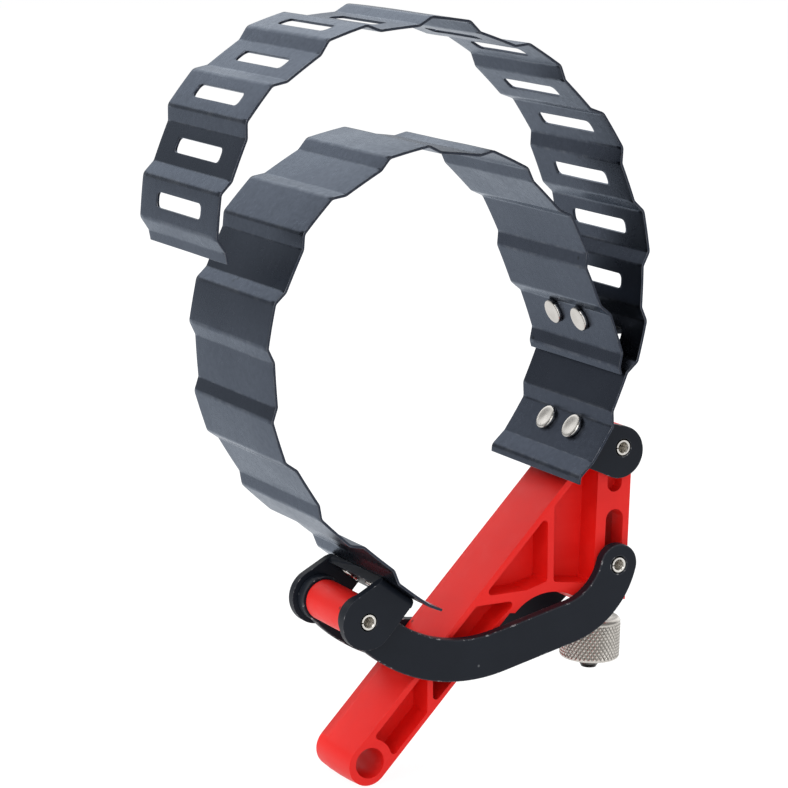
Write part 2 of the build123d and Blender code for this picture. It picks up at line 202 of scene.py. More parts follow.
def noise_tex(t, where, scale, detail=4.0, rough=0.55, stretch=None, turn=None):
    if stretch or turn:
        m = t.nodes.new("ShaderNodeMapping")
        t.links.new(where, m.inputs["Vector"])
        m.inputs["Scale"].default_value = stretch or (1, 1, 1)
        m.inputs["Rotation"].default_value = turn or (0, 0, 0)
        where = m.outputs["Vector"]
    n = t.nodes.new("ShaderNodeTexNoise")
    t.links.new(where, n.inputs["Vector"])
    n.inputs["Scale"].default_value = scale
    n.inputs["Detail"].default_value = detail
    n.inputs["Roughness"].default_value = rough
    return n.outputs["Fac"]


def span(t, value, lo, hi, to_lo=0.0, to_hi=1.0):
    n = t.nodes.new("ShaderNodeMapRange")
    t.links.new(value, n.inputs["Value"])
    n.inputs["From Min"].default_value = lo
    n.inputs["From Max"].default_value = hi
    n.inputs["To Min"].default_value = to_lo
    n.inputs["To Max"].default_value = to_hi
    return n.outputs["Result"]


def combine(t, op, a, b):
    n = t.nodes.new("ShaderNodeMath")
    n.operation = op
    n.use_clamp = True
    for socket, value in zip(n.inputs, (a, b)):
        if isinstance(value, (int, float)):
            socket.default_value = value
        else:
            t.links.new(value, socket)
    return n.outputs[0]


def mix_colour(t, fac, a, b):
    n = t.nodes.new("ShaderNodeMix")
    n.data_type = "RGBA"
    t.links.new(fac, n.inputs[0])
    for socket, value in ((n.inputs[6], a), (n.inputs[7], b)):
        if isinstance(value, tuple):
            socket.default_value = (*value, 1.0)
        else:
            t.links.new(value, socket)
    return n.outputs[2]


def bump(t, height, distance, strength, under=None):
    n = t.nodes.new("ShaderNodeBump")
    n.inputs["Strength"].default_value = strength
    n.inputs["Distance"].default_value = distance
    t.links.new(height, n.inputs["Height"])
    if under is not None:
        t.links.new(under, n.inputs["Normal"])
    return n.outputs["Normal"]


def attribute(t, name):
    n = t.nodes.new("ShaderNodeAttribute")
    n.attribute_name = name
    return n.outputs["Fac"]


def patchy(t, name, texture, lo, hi, to_lo=0.0, to_hi=1.0):
    """A mesh attribute broken up by a texture."""
    return combine(t, "MULTIPLY", attribute(t, name), span(t, texture, lo, hi, to_lo, to_hi))


def spots(t, where, scale, size):
    """Sparse round specks: 1 inside a speck."""
    v = t.nodes.new("ShaderNodeTexVoronoi")
    t.links.new(where, v.inputs["Vector"])
    v.inputs["Scale"].default_value = scale
    v.inputs["Randomness"].default_value = 1.0
    near = span(t, v.outputs["Distance"], size * SPECK_SOFT, size, 1.0, 0.0)
    pick = t.nodes.new("ShaderNodeSeparateColor")
    t.links.new(v.outputs["Color"], pick.inputs["Color"])
    chosen = span(t, pick.outputs[0], 0.86, 0.9)
    return combine(t, "MULTIPLY", near, chosen)


def red_nylon():
    """Moulded nylon with flow marks along the lever, paler rims and a few dark specks."""
    m, t, s, where = new_material("red_nylon_moulded")
    cloud = noise_tex(t, where, 45.0, 3.0)
    flow = noise_tex(t, where, 1.0, 5.0, 0.6, stretch=(35.0, 240.0, 420.0),
                     turn=(0.0, math.radians(LEVER_ANGLE), 0.0))
    colour = mix_colour(t, span(t, cloud, 0.3, 0.7), (0.78, 0.012, 0.008), (0.70, 0.008, 0.006))
    colour = mix_colour(t, span(t, flow, 0.45, 0.75, 0.0, 0.35), colour, (0.80, 0.026, 0.020))
    worn = patchy(t, "wear", noise_tex(t, where, 700.0), 0.4, 0.7, 0.25, 0.8)
    colour = mix_colour(t, worn, colour, (0.82, 0.05, 0.04))
    specks = spots(t, where, 160.0, 0.09)
    colour = mix_colour(t, specks, colour, (0.22, 0.012, 0.01))
    t.links.new(colour, s.inputs["Base Color"])
    t.links.new(span(t, flow, 0.3, 0.7, 0.42, 0.54), s.inputs["Roughness"])
    s.inputs["IOR"].default_value = 1.5
    s.inputs["Specular IOR Level"].default_value = 0.25
    s.inputs["Subsurface Weight"].default_value = 0.04
    s.inputs["Subsurface Radius"].default_value = (0.0012, 0.0003, 0.0002)
    s.inputs["Subsurface Scale"].default_value = 1.0
    n = bump(t, noise_tex(t, where, 2600.0, 3.0), 0.000012, 0.55)
    n = bump(t, noise_tex(t, where, 110.0, 2.0), 0.00016, 0.5, n)
    n = bump(t, flow, 0.00003, 0.6, n)
    t.links.new(n, s.inputs["Normal"])
    return m


def spring_steel():
    """Blued strip, cloudy and finely pitted, with a painted highlight along the bend crests and rubbed on the
    rims.
    """
    m, t, s, where = new_material("blued_spring_steel")
    cloud = noise_tex(t, where, 38.0, 4.0)
    fine = noise_tex(t, where, 900.0, 4.0)
    colour = mix_colour(t, span(t, cloud, 0.3, 0.7), (0.030, 0.0355, 0.050), (0.041, 0.0475, 0.065))
    colour = mix_colour(t, span(t, fine, 0.35, 0.7, 0.0, 0.3), colour, (0.023, 0.027, 0.038))
    pits = spots(t, where, 230.0, 0.14)
    colour = mix_colour(t, pits, colour, (0.012, 0.013, 0.016))
    # painted highlight: the bend crests are lightened in colour to stand in for the reflections along the
    # folds
    bend_highlight = patchy(t, "crest", noise_tex(t, where, 320.0), 0.42, 0.72, 0.0, 0.55)
    colour = mix_colour(t, bend_highlight, colour, (0.10, 0.107, 0.122))
    worn = patchy(t, "wear", noise_tex(t, where, 500.0), 0.35, 0.65, 0.05, 0.8)
    colour = mix_colour(t, worn, colour, (0.13, 0.134, 0.145))
    t.links.new(colour, s.inputs["Base Color"])
    s.inputs["Metallic"].default_value = 0.97
    s.inputs["Specular Tint"].default_value = (0.86, 0.92, 1.0, 1.0)
    rough = combine(t, "ADD", span(t, cloud, 0.3, 0.7, 0.24, 0.33), span(t, fine, 0.3, 0.7, -0.03, 0.05))
    t.links.new(rough, s.inputs["Roughness"])
    n = bump(t, fine, 0.000010, 0.5)
    n = bump(t, noise_tex(t, where, 90.0, 2.0), 0.00006, 0.3, n)
    n = bump(t, pits, 0.00006, -0.5, n)
    t.links.new(n, s.inputs["Normal"])
    return m


def black_coat():
    """Black coating, worn and chipped at its rims."""
    m, t, s, where = new_material("black_coated_steel")
    cloud = noise_tex(t, where, 70.0, 4.0)
    fine = noise_tex(t, where, 2100.0, 3.0)
    colour = mix_colour(t, span(t, cloud, 0.3, 0.7), (0.0075, 0.0100, 0.0155), (0.011, 0.0140, 0.0205))
    chips = patchy(t, "wear", noise_tex(t, where, 800.0, 5.0, 0.7), 0.56, 0.64)
    rub = combine(t, "MULTIPLY", attribute(t, "wear"), 0.22)
    colour = mix_colour(t, rub, colour, (0.075, 0.08, 0.09))
    colour = mix_colour(t, chips, colour, (0.30, 0.30, 0.31))
    specks = spots(t, where, 190.0, 0.07)
    colour = mix_colour(t, specks, colour, (0.10, 0.105, 0.115))
    t.links.new(colour, s.inputs["Base Color"])
    s.inputs["Specular IOR Level"].default_value = 0.14
    t.links.new(span(t, cloud, 0.3, 0.7, 0.38, 0.5), s.inputs["Roughness"])
    n = bump(t, fine, 0.000014, 0.6)
    n = bump(t, noise_tex(t, where, 170.0, 3.0), 0.00005, 0.4, n)
    t.links.new(n, s.inputs["Normal"])
    return m


def bright_metal(name, light, dark, rough_lo, rough_hi, grain, painted_shade=None, soft=1.0):
    """Plated or turned metal, with painted shade darkening the marked places, such as grooves, where a shade
    colour is given.
    """
    m, t, s, where = new_material(name)
    cloud = noise_tex(t, where, 260.0, 4.0)
    fine = noise_tex(t, where, grain, 4.0, 0.6)
    colour = mix_colour(t, span(t, cloud, 0.3, 0.7), light, dark)
    if painted_shade:
        colour = mix_colour(t, attribute(t, "painted_shade"), colour, painted_shade)
    specks = spots(t, where, 700.0, 0.12)
    colour = mix_colour(t, specks, colour, tuple(0.3 * c for c in dark))
    t.links.new(colour, s.inputs["Base Color"])
    s.inputs["Metallic"].default_value = 1.0
    t.links.new(span(t, fine, 0.3, 0.7, rough_lo, rough_hi), s.inputs["Roughness"])
    n = bump(t, fine, 0.000012, 0.5 * soft)
    n = bump(t, cloud, 0.00003, 0.35 * soft, n)
    t.links.new(n, s.inputs["Normal"])
    return m


RED = red_nylon()
STEEL = spring_steel()
BLACK = black_coat()
# the last colour is painted shade, laid into the knurl's grooves and onto the hub and shoulder
NICKEL = bright_metal("nickel_knurl", (0.64, 0.61, 0.565), (0.50, 0.475, 0.44), 0.30, 0.42, 2400.0,
                      painted_shade=(0.10, 0.093, 0.083))
ZINC = bright_metal("zinc_washer", (0.52, 0.53, 0.55), (0.42, 0.43, 0.45), 0.25, 0.4, 2600.0)
# the last colour is painted shade, laid into the thread's grooves and onto the plain ends and the point
OXIDE = bright_metal("black_oxide_screw", (0.26, 0.25, 0.24), (0.16, 0.155, 0.15), 0.25, 0.4, 2800.0,
                     painted_shade=(0.012, 0.011, 0.010))
PIN = bright_metal("bright_spring_pin", (0.70, 0.68, 0.64), (0.55, 0.53, 0.50), 0.18, 0.3, 3000.0)
RIVET = bright_metal("bright_rivet", (0.56, 0.54, 0.51), (0.48, 0.463, 0.437), 0.17, 0.24, 1900.0,
                     soft=0.25)


# ------------------------------------------------------------------ mesh helpers
def finish_piece(bm, name, node, body, material, smooth=38.0, weighted=True, confine=True):
    """Turn a bmesh in mm into a piece that stands for a CAD node, by default kept in the node's box."""
    if confine:
        low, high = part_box(node)
        low, high = low / MM, high / MM
        for v in bm.verts:
            for i in range(3):
                v.co[i] = min(max(v.co[i], low[i]), high[i])
    bmesh.ops.scale(bm, vec=(MM, MM, MM), verts=bm.verts)
    bmesh.ops.recalc_face_normals(bm, faces=bm.faces)
    me = bpy.data.meshes.new(name)
    bm.to_mesh(me)
    bm.free()
    me.shade_smooth()
    me.set_sharp_from_angle(angle=math.radians(smooth))
    me.materials.append(material)
    ob = bpy.data.objects.new(name, me)
    bpy.context.scene.collection.objects.link(ob)
    if weighted:
        w = ob.modifiers.new("normals", "WEIGHTED_NORMAL")
        w.keep_sharp = True
        w.weight = 80
    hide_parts(node)
    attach(ob, body)


def wear_layer(bm):
    """Face layer that marks the rubbed rims."""
    return bm.faces.layers.float.get("wear") or bm.faces.layers.float.new("wear")


def painted_shade_layer(bm):
    """Vertex layer of painted shade, darkest at the bottoms of grooves."""
    return bm.verts.layers.float.get("painted_shade") or bm.verts.layers.float.new("painted_shade")


def bevel_edges(bm, edges, width, segments=3, wear=1.0):
    """Round the edges and mark the new faces with their wear."""
    layer = wear_layer(bm)
    made = bmesh.ops.bevel(bm, geom=list(edges), offset=width, segments=segments, profile=0.5,
                           affect="EDGES", clamp_overlap=True)
    for f in made["faces"]:
        if f.is_valid:
            f[layer] = wear


def is_convex(e):
    return len(e.link_faces) == 2 and e.is_convex


def fold(e):
    return e.calc_face_angle(0.0) if len(e.link_faces) == 2 else 0.0


def carried(node):
    """The CAD node's mesh in mm, welded and with its flat faces joined."""
    bm = bmesh.new()
    bm.from_mesh(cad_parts[node].data)
    bmesh.ops.scale(bm, vec=(1 / MM, 1 / MM, 1 / MM), verts=bm.verts)
    bmesh.ops.remove_doubles(bm, verts=bm.verts, dist=0.002)
    bmesh.ops.dissolve_limit(bm, angle_limit=math.radians(0.7), verts=bm.verts, edges=bm.edges,
                             use_dissolve_boundaries=False)
    for f in bm.faces:
        f.smooth = True
    wear_layer(bm)
    return bm


def turned_ring(bm, centre, axis, side, radii, h, phase=0.0):
    """Ring of vertices about an axis, one for each radius, at height h."""
    third = axis.cross(side)
    ring = []
    for k, r in enumerate(radii):
        a = phase + 2.0 * math.pi * k / len(radii)
        ring.append(bm.verts.new(centre + axis * h + (side * math.cos(a) + third * math.sin(a)) * r))
    return ring


def skin(bm, pairs):
    """Faces between pairs of rings; a ring of one vertex closes to a point."""
    for one, two in pairs:
        steps = max(len(one), len(two))
        for k in range(steps):
            n = (k + 1) % steps
            if len(one) == 1:
                bm.faces.new((one[0], two[k], two[n]))
            elif len(two) == 1:
                bm.faces.new((one[k], two[0], one[n]))
            else:
                bm.faces.new((one[k], two[k], two[n], one[n]))


def revolve(bm, profile, centre, axis, side, steps, phase=0.0, closed=True):
    """Turn a profile of (radius, height) about an axis; radius 0 closes it to a point."""
    rings = [turned_ring(bm, centre, axis, side, [r] * (steps if r else 1), h, phase) for r, h in profile]
    pairs = list(zip(rings, rings[1:]))
    if closed:
        pairs.append((rings[-1], rings[0]))
    skin(bm, pairs)


def arc_profile(r_c, h_c, radius, a0, a1, steps):
    """Points of an arc in a profile, angles from the radial direction."""
    out = []
    for k in range(steps + 1):
        a = math.radians(a0 + (a1 - a0) * k / steps)
        out.append((r_c + radius * math.cos(a), h_c + radius * math.sin(a)))
    return out


# ------------------------------------------------------------------ bent sheet metal
def bent_line(points, bend_r, pitch, crown):
    """Sampled centreline of a folded strip: rows of (s, x, z, normal x, normal z, crest)."""
    share, end_share = 0.45, 0.8        # how much of a run, or of an end run, a bend may take
    cuts = []
    for i in range(1, len(points) - 1):
        a, la = unit(points[i - 1], points[i])
        b, lb = unit(points[i], points[i + 1])
        turn = math.atan2(a[0] * b[1] - a[1] * b[0], a[0] * b[0] + a[1] * b[1])
        room_a = (share if i > 1 else end_share) * la
        room_b = (share if i < len(points) - 2 else end_share) * lb
        cuts.append((a, turn, min(bend_r * math.tan(abs(turn) / 2.0), room_a, room_b)))
    rows, flats, s = [], [], 0.0
    for i in range(len(points) - 1):
        d, length = unit(points[i], points[i + 1])
        cut_a = cuts[i - 1][2] if i > 0 else 0.0
        cut_b = cuts[i][2] if i < len(cuts) else 0.0
        run = length - cut_a - cut_b
        n = left_of(d)
        steps = max(2, int(round(run / pitch)))
        first = len(rows)
        for k in range(steps + 1):
            f = k / steps
            lift = crown * math.sin(math.pi * f) if run > CURVED_RUN else 0.0
            p = add(add(points[i], d, cut_a + run * f), n, lift)
            tilt = -crown * math.pi / run * math.cos(math.pi * f) if run > CURVED_RUN else 0.0
            rows.append((s + run * f, p[0], p[1], n[0] + d[0] * tilt, n[1] + d[1] * tilt, 0.0))
        flats.append((first, len(rows) - 1, s, s + run))
        s += run
        if i < len(cuts):
            a, turn, cut = cuts[i]
            r = cut / math.tan(abs(turn) / 2.0)
            side = 1.0 if turn > 0 else -1.0
            centre = add(add(points[i + 1], a, -cut), left_of(a), side * r)
            start = math.atan2(-side * left_of(a)[1], -side * left_of(a)[0])
            for k in range(1, BEND_STEPS):
                w = start + turn * k / BEND_STEPS
                out = (math.cos(w), math.sin(w))
                p = add(centre, out, r)
                rows.append((s + r * abs(turn) * k / BEND_STEPS, p[0], p[1],
                             -side * out[0], -side * out[1], 1.0))
            s += r * abs(turn)
    return rows, flats


def rounded_rectangle(height, length, corner):
    """Slot outline in sheet coordinates: s along the band, y across it."""
    steps, longest = 5, 1.6
    out = []
    for ks, ky, a0 in ((1, 1, 0), (-1, 1, 90), (-1, -1, 180), (1, -1, 270)):
        for k in range(steps + 1):
            a = math.radians(a0 + 90.0 * k / steps)
            out.append((ks * (height / 2 - corner) + corner * math.cos(a),
                        ky * (length / 2 - corner) + corner * math.sin(a)))
    return subdivide(out, longest)


def circle_outline(cs, cy, r):
    steps = 20
    return [(cs + r * math.cos(2 * math.pi * k / steps), cy + r * math.sin(2 * math.pi * k / steps))
            for k in range(steps)]


def subdivide(outline, longest):
    """Outline with points added until no side is longer than the given length."""
    out = []
    for i, p in enumerate(outline):
        q = outline[(i + 1) % len(outline)]
        n = max(1, int(math.ceil(math.dist(p, q) / longest)))
        out += [(p[0] + (q[0] - p[0]) * k / n, p[1] + (q[1] - p[1]) * k / n) for k in range(n)]
    return out


def inside(p, outline):
    """True when p is within the outline, by counting crossings."""
    hit = False
    for i, a in enumerate(outline):
        b = outline[i - 1]
        if (a[1] > p[1]) != (b[1] > p[1]):
            if p[0] < (b[0] - a[0]) * (p[1] - a[1]) / (b[1] - a[1]) + a[0]:
                hit = not hit
    return hit


def clearance(p, outline):
    return min(math.dist(p, q) for q in outline)


def unrolled(rows, flats, half, holes, columns):
    """Points (s, y) and faces of the sheet laid flat, with its holes cut out of their flats."""
    flat_points, triangles = [], []
    grid = {}

    def at(i, j):
        if (i, j) not in grid:
            grid[(i, j)] = len(flat_points)
            flat_points.append((rows[i][0], -half + 2.0 * half * j / columns))
        return grid[(i, j)]

    cut_rows = set()
    for segment, outlines in holes.items():
        i0, i1, s0, s1 = flats[segment]
        cut_rows.update(range(i0, i1))
        shapes = [[(s + (s0 + s1) / 2.0, y) for s, y in o] for o in outlines]
        local = []
        kept = {}
        for i in range(i0, i1 + 1):
            for j in range(columns + 1):
                p = (rows[i][0], -half + 2.0 * half * j / columns)
                on_edge = i in (i0, i1) or j in (0, columns)
                if on_edge or not any(inside(p, o) or clearance(p, o) < HOLE_MARGIN for o in shapes):
                    kept[(i, j)] = len(local)
                    local.append(p)
        border = [(i0, j) for j in range(columns + 1)] + [(i, columns) for i in range(i0 + 1, i1 + 1)]
        border += [(i1, j) for j in range(columns - 1, -1, -1)] + [(i, 0) for i in range(i1 - 1, i0, -1)]
        edges = [(kept[border[k - 1]], kept[border[k]]) for k in range(len(border))]
        back = {v: k for k, v in kept.items()}
        for o in shapes:
            base = len(local)
            local += o
            edges += [(base + k, base + (k + 1) % len(o)) for k in range(len(o))]
        co, _, faces, origin, _, _ = delaunay_2d_cdt([Vector(p) for p in local], edges, [], 0, 1e-5)
        number = {}
        for k, v in enumerate(co):
            source = origin[k][0] if origin[k] else None
            if source in back:
                number[k] = at(*back[source])
            else:
                number[k] = len(flat_points)
                flat_points.append((v.x, v.y))
        for f in faces:
            mid = (sum(co[k].x for k in f) / len(f), sum(co[k].y for k in f) / len(f))
            if not any(inside(mid, o) for o in shapes):
                triangles.append([number[k] for k in f])
    for i in range(len(rows) - 1):
        if i not in cut_rows:
            for j in range(columns):
                triangles.append([at(i, j), at(i + 1, j), at(i + 1, j + 1), at(i, j + 1)])
    return flat_points, triangles


def sheet_piece(name, node, body, material, points, thickness, half, bend_r, holes,
                crown=0.0, wave=0.0, rim=0.1, columns=20, pitch=1.3):
    """Folded sheet with slots and holes. holes maps a segment of the fold line to its outlines."""
    rows, flats = bent_line(points, bend_r, pitch, crown)
    flat_points, triangles = unrolled(rows, flats, half, holes, columns)
    bm = bmesh.new()
    wear_layer(bm)
    crest = bm.verts.layers.float.new("crest")
    keys = [r[0] for r in rows]
    sides = ([], [])
    for s, y in flat_points:
        hi = min(max(next((k for k, v in enumerate(keys) if v >= s), len(keys) - 1), 1), len(keys) - 1)
        a, b = rows[hi - 1], rows[hi]
        f = 0.0 if b[0] - a[0] < TINY else min(max((s - a[0]) / (b[0] - a[0]), 0.0), 1.0)
        x, z, nx, nz, c = (a[m] + (b[m] - a[m]) * f for m in range(1, 6))
        scale = 1.0 / math.hypot(nx, nz)
        ripple = wave * noise.noise(Vector((s / 17.0, y / 13.0, len(points) * 1.7)))
        for side, sign in zip(sides, (0.5, -0.5)):
            off = (ripple + sign * thickness) * scale
            v = bm.verts.new((x + nx * off, y, z + nz * off))
            v[crest] = c
            side.append(v)
    walls = {}
    for loop in triangles:
        bm.faces.new([sides[0][k] for k in loop])
        bm.faces.new([sides[1][k] for k in reversed(loop)])
        for k in range(len(loop)):
            key = frozenset((loop[k - 1], loop[k]))
            walls[key] = None if key in walls else (loop[k - 1], loop[k])
    rims = [pair for pair in walls.values() if pair]
    for a, b in rims:
        bm.faces.new((sides[0][a], sides[1][a], sides[1][b], sides[0][b]))
    sharp = [bm.edges.get((side[a], side[b])) for a, b in rims for side in sides]
    bmesh.ops.recalc_face_normals(bm, faces=bm.faces)
    bevel_edges(bm, sharp, rim, 2)
    finish_piece(bm, name, node, body, material, smooth=50.0)


# ------------------------------------------------------------------ bands, hook and rivets
plain_points = band_chain(**PLAIN)
slotted_points = band_chain(**SLOTTED)
hook_flat = (len(plain_points) - 3) // 2 - 1
slotted_flats = (len(slotted_points) - 3) // 2
lip_heading = SLOTTED["head"] - SLOTTED["ramp_angle"] * LEAD_SHARE + 180.0 + LIP_TURN
lip_end = add(slotted_points[0], heading(lip_heading), LIP)


RIVET_ACROSS = (-RIVET_SPACING / 2.0, RIVET_SPACING / 2.0)


def rivet_spots(points, k, from_end):
    """Rivet hole centres on flat k, measured from the middle of the flat along the band."""
    length = flat_frame(points, k)[2]
    offset = length / 2.0 - RIVET_INSET if from_end else RIVET_INSET - length / 2.0
    return [(offset, y) for y in RIVET_ACROSS]


def rivet_holes(points, k, from_end):
    return [circle_outline(s, y, RIVET_HOLE_R) for s, y in rivet_spots(points, k, from_end)]


plain_holes = {1: rivet_holes(plain_points, 0, True),
               2 * hook_flat + 1: rivet_holes(plain_points, hook_flat, False)}
slotted_holes = {2: rivet_holes(slotted_points, 0, True)}
for k in range(FIRST_SLOT, slotted_flats):
    slotted_holes[2 * k + 2] = [rounded_rectangle(SLOT_HEIGHT, SLOT_LENGTH, SLOT_CORNER_R)]

sheet_piece("plain_band", "plain_strap", "plain_side", STEEL, plain_points,
            BAND_T, BAND_HALF, BEND_R, plain_holes, crown=BAND_CROWN, wave=BAND_WAVE)
sheet_piece("slotted_band", "slotted_strap", "slotted_side", STEEL,
            [lip_end] + slotted_points, BAND_T, BAND_HALF, BEND_R, slotted_holes,
            crown=-BAND_CROWN, wave=BAND_WAVE)

hook_p, hook_along, _ = flat_frame(plain_points, hook_flat)
hook_out = left_of(hook_along)
if hook_out[0] < 0.0:
    hook_out = (-hook_out[0], -hook_out[1])
face = BAND_T / 2.0
hook_base = (0.6, 6.6)                              # where the hook's foot starts and ends along the flat
hook_reach, hook_tip, hook_lift = 2.5, 4.0, 0.6     # past the slot, length of the tip, above the slot's centre
hook_bend_r = 1.1


def hook_at(u, v):
    return add(add(hook_p, hook_along, u), hook_out, v)


slot_p, slot_along, slot_span = flat_frame(slotted_points, FIRST_SLOT)
aim = add(add(slot_p, slot_along, slot_span / 2.0), slot_along, hook_lift)
leg_start = hook_at(hook_base[1], face + HOOK_T / 2.0)
leg_dir, _ = unit(leg_start, aim)
leg_end = add(add(aim, leg_dir, hook_reach), leg_dir, -HOOK_T / 2.0)
tip_end = add(leg_end, left_of(leg_dir), hook_tip - HOOK_T / 2.0)
hook_line = [hook_at(hook_base[0], face + HOOK_T / 2.0), leg_start, leg_end, tip_end]
bent = hook_bend_r * math.tan(math.acos(hook_along[0] * leg_dir[0] + hook_along[1] * leg_dir[1]) / 2.0)
hook_shift = RIVET_INSET - (hook_base[0] + (hook_base[1] - hook_base[0] - bent) / 2.0)
hook_holes = [circle_outline(hook_shift, y, RIVET_HOLE_R) for y in RIVET_ACROSS]
sheet_piece("hook_plate", "band_hook", "plain_side", BLACK, hook_line, HOOK_T, HOOK_HALF,
            hook_bend_r, {0: hook_holes}, rim=0.18, columns=16, pitch=1.0)


def rivet_profile(grip):
    """Softly dished head, shank and upset tail; height 0 is the band's inner face."""
    head = [(0.0, -RIVET_HEAD_H + 0.10), (0.8, -RIVET_HEAD_H + 0.085), (1.5, -RIVET_HEAD_H + 0.04),
            (2.1, -RIVET_HEAD_H)]
    head += arc_profile(RIVET_HEAD_R - 0.38, -RIVET_HEAD_H + 0.38, 0.38, -90.0, 0.0, 5)
    head += [(RIVET_HEAD_R, -0.2), (RIVET_HEAD_R - 0.1, -0.02), (RIVET_R, -0.01), (RIVET_R, grip + 0.01)]
    tail = [(RIVET_TAIL_R - 0.12, grip + 0.01), (RIVET_TAIL_R, grip + 0.14)]
    tail += arc_profile(RIVET_TAIL_R - 0.42, grip + RIVET_TAIL_H - 0.42, 0.42, 0.0, 80.0, 4)
    tail += [(1.0, grip + RIVET_TAIL_H - 0.01), (0.75, grip + RIVET_TAIL_H - 0.16),
             (0.0, grip + RIVET_TAIL_H - 0.2)]
    return head + tail


def rivet_pair(base, points, k, from_end, out, grip, body):
    """Two turned rivets through flat k of a band; out points from the head to the tail."""
    start, along, length = flat_frame(points, k)
    middle = add(start, along, length / 2.0)
    axis = Vector((out[0], 0.0, out[1]))
    for i, (s, y) in enumerate(rivet_spots(points, k, from_end)):
        seat = add(add(middle, along, s), out, -BAND_T / 2.0)
        node = base + "_" + str(i + 1)
        bm = bmesh.new()
        wear_layer(bm)
        revolve(bm, rivet_profile(grip), Vector((seat[0], y, seat[1])), axis, ALONG_Y, 40,
                phase=0.3 * i, closed=False)
        finish_piece(bm, node + "_turned", node, body, RIVET,
                     smooth=45.0, weighted=False, confine=False)


plain_first = flat_frame(plain_points, 0)[1]
slotted_first = flat_frame(slotted_points, 0)[1]
bracket_grip = BAND_T + BRACKET_T
rivet_pair("left_bracket_rivet", plain_points, 0, True, left_of(plain_first), bracket_grip, "plain_side")
rivet_pair("right_bracket_rivet", slotted_points, 0, True, (slotted_first[1], -slotted_first[0]),
           bracket_grip, "slotted_side")
rivet_pair("hook_rivet", plain_points, hook_flat, False, hook_out, BAND_T + HOOK_T, "plain_side")


# ------------------------------------------------------------------ pressed and moulded pieces
def pressed(node, body, material, width, segments=3, bends=()):
    """CAD plate with its bend lines rolled to a radius and its rims eased."""
    bm = carried(node)
    for test, radius in bends:
        edges = [e for e in bm.edges if fold(e) > BEND_FOLD and is_convex(e) and test(e)]
        bevel_edges(bm, edges, radius, 7, wear=0.0)
    edges = [e for e in bm.edges if fold(e) > SHARP_FOLD and is_convex(e)]
    bevel_edges(bm, edges, width, segments)
    finish_piece(bm, node + "_formed", node, body, material)


def along_x_z(e):
    """True for an edge that runs square to the Y axis."""
    return abs(e.verts[0].co.y - e.verts[1].co.y) < 1e-3


def ear_fold(points, outer, sign):
    """Test for the outer bend line between a bracket's plate and its ears."""
    p, along, _ = flat_frame(points, 0)
    out = left_of(along) if sign > 0 else (along[1], -along[0])

    def test(e):
        if not along_x_z(e) or e.calc_length() < 4.0:
            return False
        for v in e.verts:
            depth = (v.co.x - p[0]) * out[0] + (v.co.z - p[1]) * out[1]
            if abs(depth - BAND_T / 2.0) > 0.02 or abs(abs(v.co.y) - outer) > 0.02:
                return False
        return True
    return test


pressed("near_link", "links", BLACK, LINK_RIM)
pressed("far_link", "links", BLACK, LINK_RIM)
pressed("left_bracket", "plain_side", BLACK, BRACKET_RIM,
        bends=[(ear_fold(plain_points, LEFT_EAR_OUTER, 1), BRACKET_BEND)])
pressed("right_bracket", "slotted_side", BLACK, BRACKET_RIM,
        bends=[(ear_fold(slotted_points, RIGHT_EAR_OUTER, -1), BRACKET_BEND)])
pressed("washer", "lever", ZINC, WASHER_RIM, 2)
pressed("link_spacer", "links", RED, SPACER_RIM)


def lever_place(v):
    """Direction of the lever's bar, and a vertex's place along and across it from the tail's centre."""
    d = heading(LEVER_ANGLE)
    return d, v.co.x * d[0] + v.co.z * d[1] + TAIL_REACH, v.co.z * d[0] - v.co.x * d[1]


def outward(v):
    """Direction out of the lever at a vertex of its spine, tail or lower side, else None."""
    d, t, off = lever_place(v)
    if t < -0.01:
        r = math.hypot(t, off)
        if abs(r - BAR_HALF) < ON_SURFACE:
            return Vector((t * d[0] - off * d[1], 0.0, t * d[1] + off * d[0])) / r
    for side in (1, -1):
        if abs(off - side * BAR_HALF) < ON_SURFACE:
            return Vector((-side * d[1], 0.0, side * d[0]))
    return None


def tapered(v):
    """True for a rim vertex of the spine or the tail once the walls are tapered."""
    _, t, off = lever_place(v)
    return abs((math.hypot(t, off) if t < 0.0 else off) - BAR_HALF + TAPER) < ON_SURFACE


def handle_piece():
    """Cored lever, with outer walls that taper from the parting plane to both faces."""
    bm = carried("handle")
    for y in TAPER_CUTS:
        faces = [f for f in bm.faces if all(outward(v) for v in f.verts)]
        edges = {e for f in faces for e in f.edges}
        verts = {v for f in faces for v in f.verts}
        bmesh.ops.bisect_plane(bm, geom=faces + list(edges) + list(verts), plane_co=(0.0, y, 0.0),
                               plane_no=ALONG_Y, dist=0.001)
    for v in bm.verts:
        out = outward(v)
        if out is not None:
            v.co -= out * TAPER * (v.co.y / LEVER_HALF) ** 2
    rim = [e for e in bm.edges if fold(e) > SHARP_FOLD and is_convex(e)
           and all(abs(abs(v.co.y) - LEVER_HALF) < 0.01 for v in e.verts)]
    outer = [e for e in rim if all(tapered(v) for v in e.verts)]
    rim = [e for e in rim if e not in set(outer)]
    bevel_edges(bm, rim, LEVER_RIM, 3, wear=0.7)
    outer = [e for e in outer if e.is_valid]
    bevel_edges(bm, outer, LEVER_OUTER_RIM, 6, wear=0.2)
    hollow = [e for e in bm.edges if fold(e) > HOLLOW_FOLD and not is_convex(e) and along_x_z(e)]
    bevel_edges(bm, hollow, LEVER_HOLLOW, 3, wear=0.0)
    finish_piece(bm, "handle_moulded", "handle", "lever", RED)


handle_piece()


